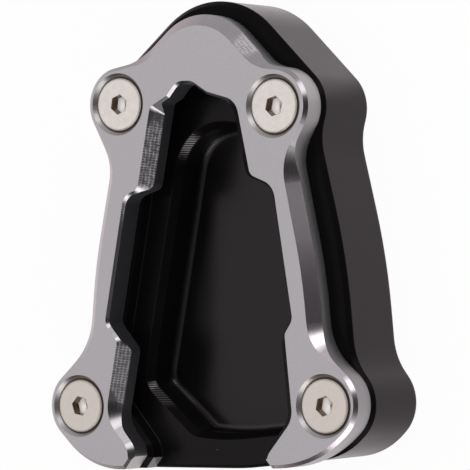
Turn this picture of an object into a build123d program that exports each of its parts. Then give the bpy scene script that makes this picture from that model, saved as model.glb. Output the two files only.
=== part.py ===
from build123d import *
from collections import namedtuple
from math import cos, radians, sin, tan
import os

# A foot enlarger for a motorcycle side stand, in millimetres.
# It lies on its tread: +Z is up through the stack, +Y points to the toe, the heel is open.
# A black base holds the stand's own foot in a pocket, and a clamp plate screws down on it.

# Screws: M6 countersunk with a hexagon socket, the same four in both pieces
SCREW_CENTRES = {
    "screw_toe_left": (-21.3, 30.0),
    "screw_toe_right": (20.9, 28.1),
    "screw_heel_left": (-33.2, -38.7),
    "screw_heel_right": (33.2, -38.0),
}
SOCKET_TURNS = {
    "screw_toe_left": 21,
    "screw_toe_right": 17,
    "screw_heel_left": -12,
    "screw_heel_right": 18,
}
SCREW_D = 6.0
SCREW_LENGTH = 16.0
SCREW_TIP = 0.8
HEAD_D = 12.0
HEAD_EDGE = 0.25
HEAD_RECESS = 0.4
SOCKET_AF = 4.0
SOCKET_DEPTH = 2.4

# Holes for the screws
CONE_ANGLE = 90.0
SINK_MARGIN = 1.1
SCREW_CLEARANCE = 0.3
THREAD_CLEARANCE = 0.05
TAPPED_DEPTH = 12.5

# Clamp plate
PLATE_THICKNESS = 6.0
SINK_WALL = 1.3
RIGHT_WALL_STEP = 0.4
WIDE_BEVEL = 2.6
BOSS_BEVEL = 0.8
SLOT_BEVEL = 0.6
MOUTH_BEVEL = 1.2
BEVEL_CUT_DEPTH = 3.0
SHARPEST = 0.1

# Base, whose bosses stand out past the plate's
BASE_HEIGHT = 18.5
BOSS_STEP = 1.0
TOE_BOSS_STEP = 1.2
HEEL_BOSS_STEP = 0.8
BASE_CHAMFER = 1.0
TREAD_CHAMFER = 0.5
LEDGE_DEPTH = 4.5
LEDGE_CHAMFER = 0.6
FLOOR_THICKNESS = 5.5
RECESS_CHAMFER = 1.5
FLOOR_FILLET = 1.2

# Sizes that follow
SINK_R = HEAD_D / 2 + SINK_MARGIN
PLATE_BOSS_R = SINK_R + SINK_WALL
PLATE_RIGHT_BOSS_R = PLATE_BOSS_R + RIGHT_WALL_STEP
BASE_BOSS_R = PLATE_BOSS_R + BOSS_STEP
BASE_TOE_BOSS_R = PLATE_BOSS_R + TOE_BOSS_STEP
BASE_HEEL_BOSS_R = PLATE_BOSS_R + HEEL_BOSS_STEP
PLATE_TOP = BASE_HEIGHT + PLATE_THICKNESS
HEAD_TOP = PLATE_TOP - HEAD_RECESS
LEDGE_Z = BASE_HEIGHT - LEDGE_DEPTH
CONE_SLOPE = tan(radians(CONE_ANGLE / 2))

# One straight side of an outline: the way it faces in degrees, its distance from the
# origin along that way, the width of its bevel, the radius of the corner to the next
# side, and that corner's radius along the bevel's upper edge. Outlines run clockwise.
Side = namedtuple("Side", "facing distance bevel corner face_corner", defaults=(0, 0, 0))


def beside_screw(name, radius, facing, bevel=0, corner=None, face_corner=None):
    """A side that touches the boss circle round a screw. With no corner of its own, it
    turns into the next side along that circle."""
    x, y = SCREW_CENTRES[name]
    a = radians(facing)
    distance = x * cos(a) + y * sin(a) + radius
    if corner is None:
        return Side(facing, distance, bevel, radius, radius - bevel)
    return Side(facing, distance, bevel, corner, face_corner)


def meeting(first, second, first_out, second_out):
    """The point where two sides meet, each moved outwards by its own amount."""
    a, b = radians(first.facing), radians(second.facing)
    p, q = first.distance + first_out, second.distance + second_out
    return (
        (p * sin(b) - q * sin(a)) / sin(b - a),
        (q * cos(a) - p * cos(b)) / sin(b - a),
    )


def is_convex(first, second):
    """Whether the outline turns out at the corner between two sides."""
    return sin(radians(first.facing - second.facing)) > 0


def wall_outline(sides, inset):
    """The sides joined by round corners, all of them moved inwards by the inset."""
    corners = []
    radii = []
    for s, t in zip(sides, sides[1:] + sides[:1]):
        corners.append(meeting(s, t, -inset, -inset))
        change = -inset if is_convex(s, t) else inset
        radii.append(s.corner + change if s.corner else 0)
    FilletPolyline(*corners, radius=radii, close=True)


def bevel_outline(sides, below, way):
    """The path of the bevel cutter below the face. way is -1 round a solid, 1 round a cut."""
    corners = []
    radii = []
    for s, t in zip(sides, sides[1:] + sides[:1]):
        corners.append(meeting(s, t, way * (s.bevel - below), way * (t.bevel - below)))
        change = -way * below if is_convex(s, t) else way * below
        radii.append(max(s.face_corner + change, SHARPEST) if s.face_corner else 0)
    FilletPolyline(*corners, radius=radii, close=True)


def solid_bevel(sides, below):
    bevel_outline(sides, below, -1)


def slot_bevel(sides, below):
    bevel_outline(sides, below, 1)


def levels(outline, sides, steps):
    """The faces inside an outline at several heights, each step a height and an inset."""
    faces = []
    for height, inset in steps:
        with BuildSketch(Plane.XY.offset(height)) as level:
            with BuildLine():
                outline(sides, inset)
            make_face()
        faces.append(level.sketch.face())
    return faces


# Clamp plate, outer sides, clockwise from the toe
PLATE_SIDES = [
    Side(45, 39.8, WIDE_BEVEL, 8.0, 11.0),
    beside_screw("screw_toe_right", PLATE_RIGHT_BOSS_R, 83, BOSS_BEVEL),
    beside_screw("screw_toe_right", PLATE_RIGHT_BOSS_R, -30, BOSS_BEVEL, 10.0, 12.0),
    Side(12, 28.15, WIDE_BEVEL, 120.0, 120.0),
    Side(5.5, 29.6, WIDE_BEVEL, 13.0, 10.0),
    beside_screw("screw_heel_right", PLATE_RIGHT_BOSS_R, 48, BOSS_BEVEL),
    beside_screw("screw_heel_right", PLATE_BOSS_R, -45, BOSS_BEVEL, 27.0, 26.2),
    Side(-88.5, 52.4, BOSS_BEVEL, 20.0, 19.2),
    beside_screw("screw_heel_left", PLATE_BOSS_R, -135, BOSS_BEVEL),
    beside_screw("screw_heel_left", PLATE_BOSS_R, 132, BOSS_BEVEL, 13.0, 15.0),
    Side(174.5, 29.1, WIDE_BEVEL, 120.0, 120.0),
    Side(168, 27.85, WIDE_BEVEL, 9.0, 11.0),
    beside_screw("screw_toe_left", PLATE_BOSS_R, -152, BOSS_BEVEL),
    beside_screw("screw_toe_left", PLATE_BOSS_R, 100, BOSS_BEVEL, 7.0, 10.0),
    Side(130, 41.15, WIDE_BEVEL, 15.2, 12.6),
]

# Clamp plate, slot for the stand's leg, clockwise from the toe, open past the heel
SLOT_SIDES = [
    Side(90, 34.05, SLOT_BEVEL, 3.4, 4.0),
    Side(57.5, 28.1, SLOT_BEVEL, 3.0, 3.0),
    Side(74, 31.05, SLOT_BEVEL, 3.0, 4.5),
    Side(12, 14.4, WIDE_BEVEL, 2.0, 2.2),
    Side(68, 17.0, SLOT_BEVEL, 4.0, 4.5),
    Side(9, 21.5, SLOT_BEVEL, 2.5, 3.0),
    Side(-35, 31.2, SLOT_BEVEL, 2.0, 2.0),
    Side(5.6, 18.4, WIDE_BEVEL, 4.0, 5.5),
    Side(-40, 44.4, MOUTH_BEVEL, 4.0, 3.0),
    Side(-22, 34.4, MOUTH_BEVEL),
    Side(41, -19.5, SLOT_BEVEL),
    Side(-90, 62.0),
    Side(141, -17.2, SLOT_BEVEL),
    Side(187, 24.33, MOUTH_BEVEL, 4.0, 3.5),
    Side(220, 44.92, MOUTH_BEVEL, 7.0, 8.0),
    Side(168.5, 14.4, WIDE_BEVEL, 2.0, 2.0),
    Side(220, 31.8, SLOT_BEVEL, 2.5, 3.0),
    Side(169, 20.8, SLOT_BEVEL, 3.0, 3.5),
    Side(108, 14.4, SLOT_BEVEL, 2.0, 2.2),
    Side(168.6, 15.3, WIDE_BEVEL, 1.2, 1.6),
    Side(117.5, 30.93, SLOT_BEVEL, 1.0, 1.0),
    Side(139, 25.9, SLOT_BEVEL, 3.2, 3.8),
]

# Base, outer sides, clockwise from the toe
BASE_SIDES = [
    beside_screw("screw_toe_right", BASE_TOE_BOSS_R, 45),
    beside_screw("screw_toe_right", BASE_TOE_BOSS_R, -17, corner=14.0),
    Side(13.6, 33.0, corner=150.0),
    Side(5, 34.7, corner=14.0),
    beside_screw("screw_heel_right", BASE_BOSS_R, 38),
    beside_screw("screw_heel_right", BASE_HEEL_BOSS_R, -45, corner=18.0),
    Side(-83.5, 53.05, corner=70.0),
    Side(-89.5, 52.8, corner=12.0),
    beside_screw("screw_heel_left", BASE_HEEL_BOSS_R, -135),
    beside_screw("screw_heel_left", BASE_BOSS_R, 142, corner=14.0),
    Side(172.8, 31.2, corner=150.0),
    Side(168.2, 30.6, corner=20.0),
    beside_screw("screw_toe_left", BASE_BOSS_R, -163),
    beside_screw("screw_toe_left", BASE_BOSS_R, 105, corner=6.0),
    Side(130, 44.2, corner=20.5),
]

# Base, pocket for the stand's foot, clockwise from the toe, open past the heel
FOOT_SIDES = [
    Side(90, 37.0, corner=16.0),
    Side(9, 21.5, corner=9.0),
    Side(-40, 43.4, corner=4.0),
    Side(-22, 33.4),
    Side(41, -20.5),
    Side(-90, 62.0),
    Side(141, -18.3),
    Side(187, 23.4, corner=4.0),
    Side(220, 44.0, corner=9.0),
    Side(169, 20.8, corner=16.0),
]

# Base, deep recess in the pocket's floor, clockwise from the toe
RECESS_SIDES = [
    Side(90, 25.75, corner=12.5),
    Side(11, 15.7, corner=9.0),
    Side(-48.6, 44.0, corner=6.0),
    Side(-84, 46.45, corner=60.0),
    Side(-96, 46.45, corner=5.0),
    Side(-131.3, 40.12, corner=6.0),
    Side(169, 15.5, corner=12.5),
]

# Base: the upper ring round the pocket, then the body that carries it
with BuildPart() as base:
    steps = [
        (LEDGE_Z - LEDGE_CHAMFER, 0),
        (BASE_HEIGHT - BASE_CHAMFER, 0),
        (BASE_HEIGHT, BASE_CHAMFER),
    ]
    loft(levels(wall_outline, BASE_SIDES, steps), ruled=True)
    steps = [
        (LEDGE_Z - LEDGE_CHAMFER, 0),
        (BASE_HEIGHT - BASE_CHAMFER, 0),
        (BASE_HEIGHT, -BASE_CHAMFER),
    ]
    loft(levels(wall_outline, FOOT_SIDES, steps), ruled=True, mode=Mode.SUBTRACT)
    steps = [
        (0, TREAD_CHAMFER),
        (TREAD_CHAMFER, 0),
        (LEDGE_Z - LEDGE_CHAMFER, 0),
        (LEDGE_Z, LEDGE_CHAMFER),
    ]
    loft(levels(wall_outline, BASE_SIDES, steps), ruled=True)
    steps = [
        (FLOOR_THICKNESS, RECESS_CHAMFER),
        (LEDGE_Z - RECESS_CHAMFER, RECESS_CHAMFER),
        (LEDGE_Z, 0),
    ]
    loft(levels(wall_outline, RECESS_SIDES, steps), ruled=True, mode=Mode.SUBTRACT)
    floor = base.faces().filter_by_position(Axis.Z, FLOOR_THICKNESS, FLOOR_THICKNESS)
    fillet(floor.edges(), radius=FLOOR_FILLET)
    with Locations(*[(x, y, BASE_HEIGHT) for x, y in SCREW_CENTRES.values()]):
        Hole(SCREW_D / 2 + THREAD_CLEARANCE, depth=TAPPED_DEPTH)
base.part.label = "base"

# Clamp plate: its wall, cut to the sloping envelope of the bevel, then slotted
with BuildPart() as clamp_plate:
    with BuildSketch(Plane.XY.offset(BASE_HEIGHT)):
        with BuildLine():
            wall_outline(PLATE_SIDES, 0)
        make_face()
    extrude(amount=PLATE_THICKNESS)
    steps = [
        (BASE_HEIGHT, BEVEL_CUT_DEPTH),
        (PLATE_TOP - BEVEL_CUT_DEPTH, BEVEL_CUT_DEPTH),
        (PLATE_TOP, 0),
    ]
    loft(levels(solid_bevel, PLATE_SIDES, steps), ruled=True, mode=Mode.INTERSECT)
    with BuildSketch(Plane.XY.offset(BASE_HEIGHT)):
        with BuildLine():
            wall_outline(SLOT_SIDES, 0)
        make_face()
    extrude(amount=PLATE_THICKNESS, mode=Mode.SUBTRACT)
    steps = [(PLATE_TOP - BEVEL_CUT_DEPTH, BEVEL_CUT_DEPTH), (PLATE_TOP, 0)]
    loft(levels(slot_bevel, SLOT_SIDES, steps), ruled=True, mode=Mode.SUBTRACT)
    with Locations(*[(x, y, PLATE_TOP) for x, y in SCREW_CENTRES.values()]):
        CounterSinkHole(SCREW_D / 2 + SCREW_CLEARANCE, SINK_R, PLATE_THICKNESS, CONE_ANGLE)
clamp_plate.part.label = "clamp_plate"


def make_screw(name):
    """A countersunk socket screw in its place, head up."""
    x, y = SCREW_CENTRES[name]
    head_r = HEAD_D / 2
    cone_start = (SINK_R - head_r) / CONE_SLOPE - HEAD_RECESS
    cone_end = cone_start + (head_r - SCREW_D / 2) / CONE_SLOPE
    with BuildPart() as screw:
        with BuildSketch(Plane.XZ.offset(-y)):
            with BuildLine():
                Polyline(
                    (x, HEAD_TOP),
                    (x + head_r - HEAD_EDGE, HEAD_TOP),
                    (x + head_r, HEAD_TOP - HEAD_EDGE),
                    (x + head_r, HEAD_TOP - cone_start),
                    (x + SCREW_D / 2, HEAD_TOP - cone_end),
                    (x + SCREW_D / 2, HEAD_TOP - SCREW_LENGTH + SCREW_TIP),
                    (x + SCREW_D / 2 - SCREW_TIP, HEAD_TOP - SCREW_LENGTH),
                    (x, HEAD_TOP - SCREW_LENGTH),
                    close=True,
                )
            make_face()
        revolve(axis=Axis((x, y, 0), (0, 0, 1)))
        with BuildSketch(Plane((x, y, HEAD_TOP))):
            RegularPolygon(SOCKET_AF / 2, 6, major_radius=False, rotation=SOCKET_TURNS[name])
        extrude(amount=-SOCKET_DEPTH, mode=Mode.SUBTRACT)
    screw.part.label = name
    return screw.part


screws = [make_screw(name) for name in SCREW_CENTRES]

os.makedirs("parts", exist_ok=True)
export_step(base.part, "parts/base.step")
export_step(clamp_plate.part, "parts/clamp_plate.step")
for screw in screws:
    export_step(screw, f"parts/{screw.label}.step")
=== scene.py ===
import bpy
import math
from mathutils import Matrix, Vector


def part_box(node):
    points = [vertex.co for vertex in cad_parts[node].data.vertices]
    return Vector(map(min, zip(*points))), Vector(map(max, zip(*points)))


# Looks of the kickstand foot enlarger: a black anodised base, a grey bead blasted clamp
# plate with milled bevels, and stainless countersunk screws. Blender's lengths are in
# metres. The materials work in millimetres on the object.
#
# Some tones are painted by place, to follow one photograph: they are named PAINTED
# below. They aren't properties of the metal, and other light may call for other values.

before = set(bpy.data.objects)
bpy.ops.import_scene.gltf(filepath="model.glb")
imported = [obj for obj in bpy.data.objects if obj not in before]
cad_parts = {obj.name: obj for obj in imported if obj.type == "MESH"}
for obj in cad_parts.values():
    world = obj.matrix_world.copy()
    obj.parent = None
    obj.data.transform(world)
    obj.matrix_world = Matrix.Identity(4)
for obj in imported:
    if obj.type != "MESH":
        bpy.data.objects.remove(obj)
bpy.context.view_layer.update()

SCREWS = ["screw_toe_left", "screw_toe_right", "screw_heel_left", "screw_heel_right"]
SCREW_BOXES = [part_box(name) for name in SCREWS]
SCREW_CENTRES = [(low + high) / 2 for low, high in SCREW_BOXES]
HEAD_TOP = 1000 * SCREW_BOXES[0][1].z

# Camera: the photograph's view, fitted to the screw heads and the outlines
LENS_MM = 263.8
SENSOR_MM = 36.0
CAMERA_AT = Vector((0.438373, -0.008998, 0.658883))
YAW = math.radians(34.0)
PITCH = math.radians(0.658)
ROLL = math.radians(-0.665)


def add_camera():
    data = bpy.data.cameras.new("camera")
    data.lens = LENS_MM
    data.sensor_width = SENSOR_MM
    data.clip_start = 0.01
    camera = bpy.data.objects.new("camera", data)
    bpy.context.scene.collection.objects.link(camera)
    turn = Matrix.Rotation(YAW, 4, "Y") @ Matrix.Rotation(PITCH, 4, "X") @ Matrix.Rotation(ROLL, 4, "Z")
    camera.matrix_world = Matrix.Translation(CAMERA_AT) @ turn
    bpy.context.scene.camera = camera


def direction(azimuth, elevation):
    """The unit vector towards an azimuth and elevation in degrees. Azimuth 0 is +X."""
    a = math.radians(azimuth)
    e = math.radians(elevation)
    return Vector((math.cos(a) * math.cos(e), math.sin(a) * math.cos(e), math.sin(e)))


# A face that slopes by 45 degrees has this z in its normal, give or take the reach
SLOPE_Z = 0.707
SLOPE_REACH = 0.2
DUST_SKIPPED = 0.6


class Graph:
    """A node tree with short calls for the nodes that the materials repeat."""

    def __init__(self, tree):
        self.tree = tree
        self.nodes = tree.nodes
        self.nodes.clear()

    def add(self, kind, **settings):
        node = self.nodes.new("ShaderNode" + kind)
        for name, value in settings.items():
            setattr(node, name, value)
        return node

    def join(self, source, target):
        self.tree.links.new(source, target)

    def fill(self, socket, value):
        """Links an output to a socket, or writes a plain value into it."""
        if isinstance(value, bpy.types.NodeSocket):
            self.join(value, socket)
        else:
            socket.default_value = value

    def math(self, operation, a, b=0.0):
        node = self.add("Math", operation=operation)
        self.fill(node.inputs[0], a)
        self.fill(node.inputs[1], b)
        return node.outputs[0]

    def both(self, *shares):
        """The product of shares from 0 to 1, which is 1 where every one of them is 1."""
        product = shares[0]
        for share in shares[1:]:
            product = self.math("MULTIPLY", product, share)
        return product

    def over(self, value, limit):
        return self.math("GREATER_THAN", value, limit)

    def under(self, value, limit):
        return self.math("LESS_THAN", value, limit)

    def dot(self, a, b):
        node = self.add("VectorMath", operation="DOT_PRODUCT")
        self.fill(node.inputs[0], a)
        self.fill(node.inputs[1], b)
        return node.outputs["Value"]

    def step(self, value, low, high, to_low=0.0, to_high=1.0):
        """A smooth step of the value, from one level to another."""
        node = self.add("MapRange", interpolation_type="SMOOTHSTEP")
        self.fill(node.inputs["Value"], value)
        node.inputs["From Min"].default_value = low
        node.inputs["From Max"].default_value = high
        node.inputs["To Min"].default_value = to_low
        node.inputs["To Max"].default_value = to_high
        return node.outputs[0]

    def mix(self, share, a, b):
        """A colour between two colours, or a number between two numbers."""
        is_number = isinstance(a, float) or getattr(a, "type", "") == "VALUE"
        node = self.add("Mix", data_type="FLOAT" if is_number else "RGBA")
        sockets = [s for s in node.inputs if s.enabled]
        self.fill(sockets[0], share)
        self.fill(sockets[1], a)
        self.fill(sockets[2], b)
        return next(s for s in node.outputs if s.enabled)

    def millimetres(self, stretch=(1, 1, 1)):
        """Places on the object in millimetres, stretched along the axes."""
        place = self.add("TexCoord")
        scale = self.add("VectorMath", operation="MULTIPLY")
        self.join(place.outputs["Object"], scale.inputs[0])
        scale.inputs[1].default_value = [1000 * s for s in stretch]
        return scale.outputs[0]

    def parts(self, vector):
        """The x, y and z outputs of a vector."""
        node = self.add("SeparateXYZ")
        self.join(vector, node.inputs[0])
        return node.outputs["X"], node.outputs["Y"], node.outputs["Z"]

    def true_normal(self):
        """The x, y and z outputs of the surface's own normal."""
        return self.parts(self.add("NewGeometry").outputs["True Normal"])

    def is_slope(self, normal_z):
        """1 on faces that slope by about 45 degrees, and 0 on the others."""
        same = self.math("COMPARE", normal_z, SLOPE_Z)
        same.node.inputs[2].default_value = SLOPE_REACH
        return same

    def faces(self, wanted, least):
        """1 on faces whose normal is near a wanted one, by the least cosine that counts."""
        return self.over(self.dot(self.add("NewGeometry").outputs["True Normal"], wanted), least)

    def at_edge(self, rounded, sharp, flat):
        """1 at an edge and 0 on a flat, by the cosines between the rounded normal and the
        surface's own where each begins."""
        turn = self.dot(rounded, self.add("NewGeometry").outputs["True Normal"])
        return self.step(turn, sharp, flat, 1.0, 0.0)

    def distance(self, x, y, to_x, to_y):
        """The distance of x and y from a point, seen from above."""
        dx = self.math("SUBTRACT", x, to_x)
        dy = self.math("SUBTRACT", y, to_y)
        squares = self.math("ADD", self.math("MULTIPLY", dx, dx), self.math("MULTIPLY", dy, dy))
        return self.math("SQRT", squares)

    def near_screw(self, x, y):
        """The distance in millimetres to the nearest screw's axis."""
        nearest = None
        for centre in SCREW_CENTRES:
            away = self.distance(x, y, 1000 * centre.x, 1000 * centre.y)
            nearest = away if nearest is None else self.math("MINIMUM", nearest, away)
        return nearest

    def noise(self, place, size, detail=2.0, roughness=0.5):
        """Noise from 0 to 1 whose features are about the size given, in millimetres."""
        node = self.add("TexNoise")
        self.join(place, node.inputs["Vector"])
        node.inputs["Scale"].default_value = 1 / size
        node.inputs["Detail"].default_value = detail
        node.inputs["Roughness"].default_value = roughness
        return node.outputs["Fac"]

    def dust(self, place, spacing, size):
        """Sparse specks from 0 to 1: their mean spacing and their size, in millimetres."""
        node = self.add("TexVoronoi")
        self.join(place, node.inputs["Vector"])
        node.inputs["Scale"].default_value = 1 / spacing
        is_near = self.under(node.outputs["Distance"], size / spacing / 2)
        is_kept = self.over(self.parts(node.outputs["Color"])[0], DUST_SKIPPED)
        return self.both(is_near, is_kept)

    def round_edges(self, radius):
        """The normal with every edge rounded, by a radius in millimetres."""
        node = self.add("Bevel", samples=6)
        self.fill(node.inputs["Radius"], self.math("DIVIDE", radius, 1000.0))
        return node.outputs[0]

    def bump(self, height, depth, under=None):
        """A bump normal from a height of 0 to 1, with its depth in millimetres."""
        node = self.add("Bump")
        self.join(height, node.inputs["Height"])
        node.inputs["Distance"].default_value = depth / 1000
        if under is not None:
            self.join(under, node.inputs["Normal"])
        return node.outputs[0]


def new_material(name):
    material = bpy.data.materials.new(name)
    material.use_nodes = True
    graph = Graph(material.node_tree)
    shader = graph.add("BsdfPrincipled")
    output = graph.add("OutputMaterial")
    graph.join(shader.outputs[0], output.inputs[0])
    return material, graph, shader


def hatch(graph, coordinate, pitch, jitter):
    """Lines of one direction from 0 to 1, at a pitch in millimetres, shifted by a jitter."""
    turns = graph.math("MULTIPLY", coordinate, 2 * math.pi / pitch)
    wave = graph.math("SINE", graph.math("ADD", turns, jitter))
    return graph.step(wave, -1.0, 1.0)


BLACK = (0.0030, 0.0027, 0.0030, 1)
BLACK_WORN = (0.0060, 0.0054, 0.0060, 1)
WARM_TINT = (1.0, 0.90, 0.92, 1)
BLACK_ROUGH = (0.20, 0.25)
BLACK_CLOUD = 9.0
BLACK_GRAIN = 0.22
BLACK_GRAIN_DEPTH = 0.003
DUST_GREY = (0.10, 0.10, 0.10, 1)
DUST_SPACING = 7.0
DUST_SIZE = 0.35

# Heights that part the base: its foot's edge, the recess below and the rim above the ledge
FOOT_Z = 0.6
RECESS_Z = 10.0
RIM_Z = 16.0
EDGE_RADIUS = 0.5
FLOOR_RADIUS = 1.1

# PAINTED: the small cut beside the mouth is bright grey on the base
MOUTH_CUT_GREY = (0.16, 0.155, 0.16, 1)
MOUTH_CUT_X = -15.0
MOUTH_CUT_Y = -50.0
MOUTH_CUT_NORMAL = (0.777, -0.629, 0.0)
MOUTH_CUT_LEAST = 0.95

# PAINTED: the base's gloss by place, with painted shade and painted highlights. Its walls,
# then the recess's floor, the ledge, the rim and the foot's edge, which are duller as painted
# shade, and the lit chamfers and edges of the recess.
BLACK_GLOSS = 0.40
FLOOR_GLOSS = 0.275
LEDGE_GLOSS = 0.12
RIM_GLOSS = 0.03
CHAMFER_GLOSS = 0.75
EDGE_GLOSS = 1.0
# PAINTED: painted shade on the recess's floor, which is darker near its left wall
SHADE_X = -11.5
SHADE_END_X = -5.5
SHADE_GLOSS = 0.12
# PAINTED: the recess's chamfer shows tool marks at its left corners alone, glossy there as a
# painted highlight. Those are where the y of its normal lies between these, and forward of the end
CORNER_BEGINS = (0.22, 0.35)
CORNER_ENDS = (0.52, 0.60)
CORNER_END_Y = -38.5
CHAMFER_PITCH = 0.5
CHAMFER_WANDER = 3.0
# PAINTED: the bright edge of the recess, a painted highlight, by the cosines at its edge and
# on the flat, and how far it reaches from the recess's middle
BRIGHT_EDGE = (0.97, 0.998)
RECESS_MIDDLE = (0.0, -10.0)
RECESS_REACH = 40.0
FLAT_Z = 0.9
STEEP_Z = 0.5


def black_anodise():
    """Satin black film: hardly any colour of its own, and a soft reflection, with a bright grey
    on the small cut beside the mouth."""
    material, graph, shader = new_material("black_anodise")
    place = graph.millimetres()
    x, y, z = graph.parts(place)
    normal_y, normal_z = graph.true_normal()[1:]
    cloud = graph.noise(place, BLACK_CLOUD, 3.0)
    grain = graph.noise(place, BLACK_GRAIN, 2.0)
    film = graph.mix(cloud, BLACK, BLACK_WORN)
    film = graph.mix(graph.dust(place, DUST_SPACING, DUST_SIZE), film, DUST_GREY)
    # The small cut beside the mouth is painted bright grey
    is_cut = graph.both(graph.faces(MOUTH_CUT_NORMAL, MOUTH_CUT_LEAST), graph.under(x, MOUTH_CUT_X), graph.under(y, MOUTH_CUT_Y))
    graph.join(graph.mix(is_cut, film, MOUTH_CUT_GREY), shader.inputs["Base Color"])

    # Gloss, from the widest places to the smallest. Lower gloss paints shade on the ledge, the
    # rim, the foot's edge and the chamfers.
    is_high = graph.over(z, RIM_Z)
    is_chamfer = graph.both(graph.is_slope(normal_z), graph.math("SUBTRACT", 1.0, is_high))
    # Painted shade: less gloss on the recess's floor near its left wall
    floor_level = graph.step(x, SHADE_X, SHADE_END_X, SHADE_GLOSS, FLOOR_GLOSS)
    level = graph.mix(graph.over(z, RECESS_Z), floor_level, LEDGE_GLOSS)
    level = graph.mix(is_high, level, RIM_GLOSS)
    gloss = graph.mix(graph.over(normal_z, FLAT_Z), BLACK_GLOSS, level)
    is_rim = graph.both(is_high, graph.over(normal_z, STEEP_Z))
    for is_dull in (is_rim, graph.under(z, FOOT_Z), is_chamfer):
        gloss = graph.mix(is_dull, gloss, RIM_GLOSS)
    is_low = graph.under(z, RECESS_Z)
    rounded = graph.round_edges(graph.mix(is_low, EDGE_RADIUS, FLOOR_RADIUS))
    in_recess = graph.under(graph.distance(x, y, *RECESS_MIDDLE), RECESS_REACH)
    at_edge = graph.both(graph.at_edge(rounded, *BRIGHT_EDGE), is_low, in_recess)
    gloss = graph.mix(at_edge, gloss, EDGE_GLOSS)

    # Tool marks on the recess's left corners, with a painted highlight
    across = graph.math("ABSOLUTE", normal_y)
    begins = graph.step(across, *CORNER_BEGINS)
    ends = graph.step(across, *CORNER_ENDS, 1.0, 0.0)
    forward = graph.step(y, CORNER_END_Y - 1.0, CORNER_END_Y + 1.0)
    at_corner = graph.both(begins, ends, forward, is_chamfer)
    wander = graph.math("MULTIPLY", cloud, CHAMFER_WANDER)
    marks = graph.both(hatch(graph, y, CHAMFER_PITCH, wander), at_corner)
    graph.join(graph.mix(marks, gloss, CHAMFER_GLOSS), shader.inputs["Specular IOR Level"])
    shader.inputs["Specular Tint"].default_value = WARM_TINT
    graph.join(graph.step(cloud, 0.3, 0.7, *BLACK_ROUGH), shader.inputs["Roughness"])
    graph.join(graph.bump(grain, BLACK_GRAIN_DEPTH, rounded), shader.inputs["Normal"])
    return material


FACE_GREY = (0.505, 0.481, 0.502, 1)
# The dark side of the blasted grain, as a share of the face's grey
GRAIN_SHARE = 0.79
FACE_DARK = tuple(GRAIN_SHARE * c for c in FACE_GREY[:3]) + (1,)
WALL_GREY = (0.455, 0.455, 0.465, 1)
MILLED_GREY = (0.315, 0.295, 0.31, 1)
MARK_GREY = (0.80, 0.75, 0.79, 1)
SINK_GREY = (0.36, 0.345, 0.34, 1)
# PAINTED: painted shade, the cut beside the mouth is near black on the plate's bevel
CUT_DARK = (0.030, 0.027, 0.027, 1)
GREY_GRAIN = 0.24
GREY_DEPTH = 0.006
FACE_ROUGH = (0.44, 0.50)
BEVEL_ROUGH = (0.24, 0.62)
SINK_ROUGH = 0.36
SINK_REACH = 7.3
CUT_Y = -49.5
CUT_LEAST = 0.68
WALL_Z = 0.3
INNER_X = 0.3

# Marks of the cutter: their pitch, how narrow the lines are, and how far they stand out
HATCH_PITCH = 0.60
HATCH_POWER = 6.0
HATCH_LINES = 0.40
HATCH_GROUND = 0.23
HATCH_WANDER = 3.0
FADE_LOW = 0.5
MARK_FAINT = 0.15
MARK_REACH = 10.2
PATCH_CORE = 0.6
# PAINTED: the marks show only on bevels that face right, from this x of the normal up
MARK_FACING = 0.1
# PAINTED: where the marks are plain: x, y and reach in millimetres, and their strength
MARK_PATCHES = [
    (13.5, 42.5, 3.6, 0.72),
    (27.5, 6.0, 13.0, 0.22),
    (31.0, -14.0, 22.0, 0.20),
    (-17.0, 16.0, 15.0, 0.85),
    (-22.5, -31.0, 10.0, 0.7),
]
# PAINTED: painted shade, the wall inside the slot's left leg is darker
INNER_GREY = (0.24, 0.24, 0.265, 1)
# PAINTED: painted light, the right flank's bevel is lighter and warmer, wholly so below the
# first y and not at all above the second
FLANK_GREY = (0.45, 0.405, 0.44, 1)
FLANK_X = 20.0
FLANK_Y = (6.0, 16.0)


def cutter_marks(graph, place, normal, coordinates):
    """Cross marks from 0 to 1 on the bevels that face right, plainest in their patches and
    clear of the screws."""
    x, y, z = coordinates
    normal_x, normal_y = normal[:2]
    # Along the bevel: the horizontal direction across the slope, turned by a right angle
    along = graph.add("CombineXYZ")
    graph.join(graph.math("MULTIPLY", normal_y, -1.41), along.inputs[0])
    graph.join(graph.math("MULTIPLY", normal_x, 1.41), along.inputs[1])
    along_distance = graph.dot(place, along.outputs[0])
    wander = graph.math("MULTIPLY", graph.noise(place, 2.5, 1.0), HATCH_WANDER)
    fade = graph.step(graph.noise(place, 0.9, 2.0), 0.3, 0.6, FADE_LOW, 1.0)
    across_lines = graph.math("POWER", hatch(graph, along_distance, HATCH_PITCH, wander), HATCH_POWER)
    along_lines = graph.math("POWER", hatch(graph, z, HATCH_PITCH, wander), HATCH_POWER)
    lines = graph.math("MAXIMUM", across_lines, along_lines)
    lines = graph.math("ADD", graph.math("MULTIPLY", lines, HATCH_LINES), HATCH_GROUND)

    strength = MARK_FAINT
    for patch_x, patch_y, reach, own_strength in MARK_PATCHES:
        away = graph.distance(x, y, patch_x, patch_y)
        own = graph.step(away, PATCH_CORE * reach, reach, own_strength, MARK_FAINT)
        strength = graph.math("MAXIMUM", own, strength)
    apart = graph.step(graph.near_screw(x, y), MARK_REACH - 1, MARK_REACH)
    strength = graph.both(strength, graph.over(normal_x, MARK_FACING), apart)
    return graph.both(lines, fade, strength)


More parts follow.
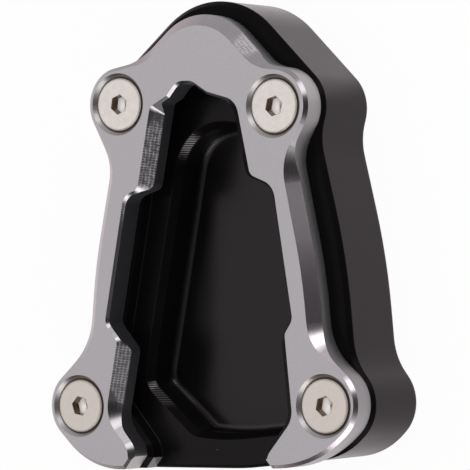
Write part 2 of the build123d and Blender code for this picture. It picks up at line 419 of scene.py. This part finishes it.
def grey_anodise():
    """Bead blasted faces with fine grain, milled bevels with the cutter's cross marks, and
    duller countersinks round the screw heads."""
    material, graph, shader = new_material("grey_anodise")
    place = graph.millimetres()
    x, y, z = graph.parts(place)
    normal_x, normal_y, normal_z = graph.true_normal()
    is_slope = graph.is_slope(normal_z)
    is_wall = graph.under(normal_z, WALL_Z)
    is_sink = graph.both(is_slope, graph.under(graph.near_screw(x, y), SINK_REACH))
    is_bevel = graph.math("SUBTRACT", is_slope, is_sink)
    marks = cutter_marks(graph, place, (normal_x, normal_y, normal_z), (x, y, z))

    grain = graph.noise(place, GREY_GRAIN, 3.0, 0.75)
    face = graph.mix(graph.step(grain, 0.32, 0.68), FACE_DARK, FACE_GREY)
    # Painted shade: the wall inside the slot's left leg is darker
    is_inner = graph.both(graph.under(x, 0.0), graph.over(normal_x, INNER_X), graph.over(y, CUT_Y))
    colour = graph.mix(is_wall, face, graph.mix(is_inner, WALL_GREY, INNER_GREY))
    # Painted light: the right flank's bevel is lighter and warmer
    is_flank = graph.both(graph.over(x, FLANK_X), graph.step(y, *FLANK_Y, 1.0, 0.0))
    milled = graph.mix(is_flank, MILLED_GREY, FLANK_GREY)
    colour = graph.mix(is_bevel, colour, graph.mix(marks, milled, MARK_GREY))
    colour = graph.mix(is_sink, colour, SINK_GREY)
    # Painted shade: the plate's bevel on the cut beside the mouth is near black
    by_mouth = graph.both(graph.under(y, CUT_Y), graph.under(x, MOUTH_CUT_X))
    is_cut = graph.both(is_bevel, graph.faces(MOUTH_CUT_NORMAL, CUT_LEAST), by_mouth)
    graph.join(graph.mix(is_cut, colour, CUT_DARK), shader.inputs["Base Color"])
    shader.inputs["Metallic"].default_value = 1.0
    rough = graph.step(grain, 0.3, 0.7, *FACE_ROUGH)
    rough = graph.mix(is_slope, rough, graph.step(marks, 0.0, 1.0, *BEVEL_ROUGH))
    graph.join(graph.mix(is_sink, rough, SINK_ROUGH), shader.inputs["Roughness"])
    graph.join(graph.bump(graph.mix(is_bevel, grain, marks), GREY_DEPTH), shader.inputs["Normal"])
    return material


STEEL = (0.70, 0.65, 0.62, 1)
STEEL_DULL = (0.63, 0.58, 0.55, 1)
STEEL_CLOUD = 1.6
STEEL_GRAIN = 0.16
STEEL_GRAIN_DEPTH = 0.004
STEEL_ROUGH = (0.26, 0.34)
RIM_ROUGH = 0.6
SOCKET_ROUGH = 0.4
HEAD_RIM = 5.7
SOCKET_FLOOR_DEPTH = 2.0
SOCKET_CONE = 0.30
# PAINTED: painted shade, the two heel screws are darker, although all four are the same steel
HEEL_SHADE_STEEL = (0.54, 0.46, 0.42, 1)
HEEL_SHARE = 0.5
# PAINTED: the sockets' brown walls and lips, and painted light on their bright floors
SOCKET_STEEL = (0.30, 0.23, 0.17, 1)
SOCKET_FLOOR = (0.95, 0.91, 0.88, 1)
LIP_STEEL = (0.36, 0.29, 0.23, 1)
LIP_RADIUS = 0.28
LIP_EDGE = (0.90, 0.995)
LIP_REACH = 3.2
LIP_DEPTH = 0.1


def stainless():
    """Satin stainless steel, warm in tone, browner on the sockets' walls, with painted light on
    their floors and painted shade on the two heel screws."""
    material, graph, shader = new_material("stainless")
    place = graph.millimetres()
    x, y, z = graph.parts(place)
    normal_z = graph.true_normal()[2]
    is_wall = graph.under(normal_z, 0.5)
    is_floor = graph.under(z, HEAD_TOP - SOCKET_FLOOR_DEPTH)
    from_axis = graph.near_screw(x, y)
    cloud = graph.noise(place, STEEL_CLOUD, 4.0, 0.6)
    grain = graph.noise(place, STEEL_GRAIN, 2.0)
    top = graph.mix(graph.step(cloud, 0.35, 0.65), STEEL_DULL, STEEL)
    # Painted shade: the two heel screws' heads are darker
    top = graph.mix(graph.math("MULTIPLY", graph.under(y, 0.0), HEEL_SHARE), top, HEEL_SHADE_STEEL)
    # Painted light: the sockets' floors are near white
    top = graph.mix(is_floor, top, SOCKET_FLOOR)
    lip = graph.at_edge(graph.round_edges(LIP_RADIUS), *LIP_EDGE)
    at_lip = graph.both(lip, graph.under(from_axis, LIP_REACH), graph.over(z, HEAD_TOP - LIP_DEPTH))
    top = graph.mix(at_lip, top, LIP_STEEL)
    graph.join(graph.mix(is_wall, top, SOCKET_STEEL), shader.inputs["Base Color"])
    shader.inputs["Metallic"].default_value = 1.0
    rough = graph.step(cloud, 0.3, 0.7, *STEEL_ROUGH)
    rough = graph.mix(is_floor, rough, SOCKET_ROUGH)
    at_rim = graph.step(from_axis, HEAD_RIM - 0.3, HEAD_RIM)
    graph.join(graph.mix(at_rim, rough, RIM_ROUGH), shader.inputs["Roughness"])
    # The socket's floor is shaded as a cone, as a drill leaves it
    cone = graph.bump(graph.both(from_axis, is_floor), SOCKET_CONE)
    graph.join(graph.bump(grain, STEEL_GRAIN_DEPTH, cone), shader.inputs["Normal"])
    return material


# How much of the floor is self-lit to the camera and to reflections. The rest takes the
# object's shadow, which is faint.
FLOOR_GLOW_SHARE = 0.96
FLOOR_GREY = (0.9, 0.9, 0.9, 1)
WHITE = (1, 1, 1, 1)
WARM_WHITE = (1.0, 0.925, 0.94, 1)
# PAINTED: painted shade, reflections see a dimmer floor beside the right flank, between these y
FLANK_GLOW = 0.65
FLANK_TOE_Y = (30.0, 40.0)
FLANK_HEEL_Y = (-66.0, -44.0)


def floor_material():
    """A pale floor that the camera and shiny surfaces see as white, with a faint shadow, and with
    painted shade in reflections beside the right flank.
    """
    material = bpy.data.materials.new("floor")
    material.use_nodes = True
    graph = Graph(material.node_tree)
    output = graph.add("OutputMaterial")
    diffuse = graph.add("BsdfDiffuse")
    glow = graph.add("Emission")
    mix = graph.add("MixShader")
    path = graph.add("LightPath")
    seen = graph.math("MAXIMUM", path.outputs["Is Camera Ray"], path.outputs["Is Glossy Ray"])
    diffuse.inputs["Color"].default_value = FLOOR_GREY
    x, y = graph.parts(graph.millimetres())[:2]
    # Painted shade on the floor beside the right flank, seen only in reflections
    toe_side = graph.step(y, *FLANK_TOE_Y, 1.0, 0.0)
    heel_side = graph.step(y, *FLANK_HEEL_Y)
    beside = graph.both(toe_side, heel_side, graph.over(x, 0.0), path.outputs["Is Glossy Ray"])
    graph.join(graph.mix(beside, 1.0, FLANK_GLOW), glow.inputs["Strength"])
    warm = graph.mix(path.outputs["Is Glossy Ray"], WHITE, WARM_WHITE)
    graph.join(warm, glow.inputs["Color"])
    graph.join(graph.math("MULTIPLY", seen, FLOOR_GLOW_SHARE), mix.inputs[0])
    graph.join(diffuse.outputs[0], mix.inputs[1])
    graph.join(glow.outputs[0], mix.inputs[2])
    graph.join(mix.outputs[0], output.inputs[0])
    return material


FLOOR_HALF = 1.5


def add_floor():
    mesh = bpy.data.meshes.new("floor")
    h = FLOOR_HALF
    mesh.from_pydata([(-h, -h, 0), (h, -h, 0), (h, h, 0), (-h, h, 0)], [], [(0, 1, 2, 3)])
    floor = bpy.data.objects.new("floor", mesh)
    bpy.context.scene.collection.objects.link(floor)
    mesh.materials.append(floor_material())


ROOM_LEVEL = 0.95
# The studio's bright places, then its dark ones: azimuth, elevation, the angles where each
# begins and ends, and its level
BRIGHT_PLACES = [(180, 56, 35, 70, 1.12), (140, 56, 5, 35, 1.42)]
DARK_PLACES = [(0, 44, 20, 32, 0.03), (-125, 10, 26, 44, 0.03)]


def add_world():
    """A pale studio, brightest behind the object, with dark places that the chamfers facing
    the camera mirror."""
    world = bpy.data.worlds.new("world")
    bpy.context.scene.world = world
    world.use_nodes = True
    graph = Graph(world.node_tree)
    place = graph.add("TexCoord").outputs["Generated"]
    level = ROOM_LEVEL
    for azimuth, elevation, inner, outer, own_level in BRIGHT_PLACES + DARK_PLACES:
        nearness = graph.dot(place, direction(azimuth, elevation))
        share = graph.step(nearness, math.cos(math.radians(outer)), math.cos(math.radians(inner)))
        level = graph.mix(share, level, own_level)
    background = graph.add("Background")
    output = graph.add("OutputWorld")
    graph.join(level, background.inputs["Strength"])
    graph.join(background.outputs[0], output.inputs[0])


# Each softbox's name, azimuth, elevation, distance, width, height and radiance
SOFTBOXES = [
    ("toe_softbox", 46, 29, 1.0, 0.46, 0.36, 2.5),
    ("heel_softbox", -66, 24, 1.0, 0.62, 0.4, 2.5),
]


def add_softbox(name, azimuth, elevation, distance, width, height, radiance):
    """An area lamp that faces the object. A radiance of 1 is seen as white."""
    data = bpy.data.lights.new(name, "AREA")
    data.shape = "RECTANGLE"
    data.size = width
    data.size_y = height
    data.energy = radiance * math.pi * width * height
    lamp = bpy.data.objects.new(name, data)
    bpy.context.scene.collection.objects.link(lamp)
    place = distance * direction(azimuth, elevation)
    lamp.location = place
    lamp.rotation_euler = (-place).to_track_quat("-Z", "Y").to_euler()


def dress(node, material):
    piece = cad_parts[node]
    piece.data.materials.clear()
    piece.data.materials.append(material)


add_camera()
add_floor()
add_world()
for softbox in SOFTBOXES:
    add_softbox(*softbox)
dress("base", black_anodise())
dress("clamp_plate", grey_anodise())
steel = stainless()
for screw in SCREWS:
    dress(screw, steel)

bpy.context.scene.view_settings.view_transform = "Standard"
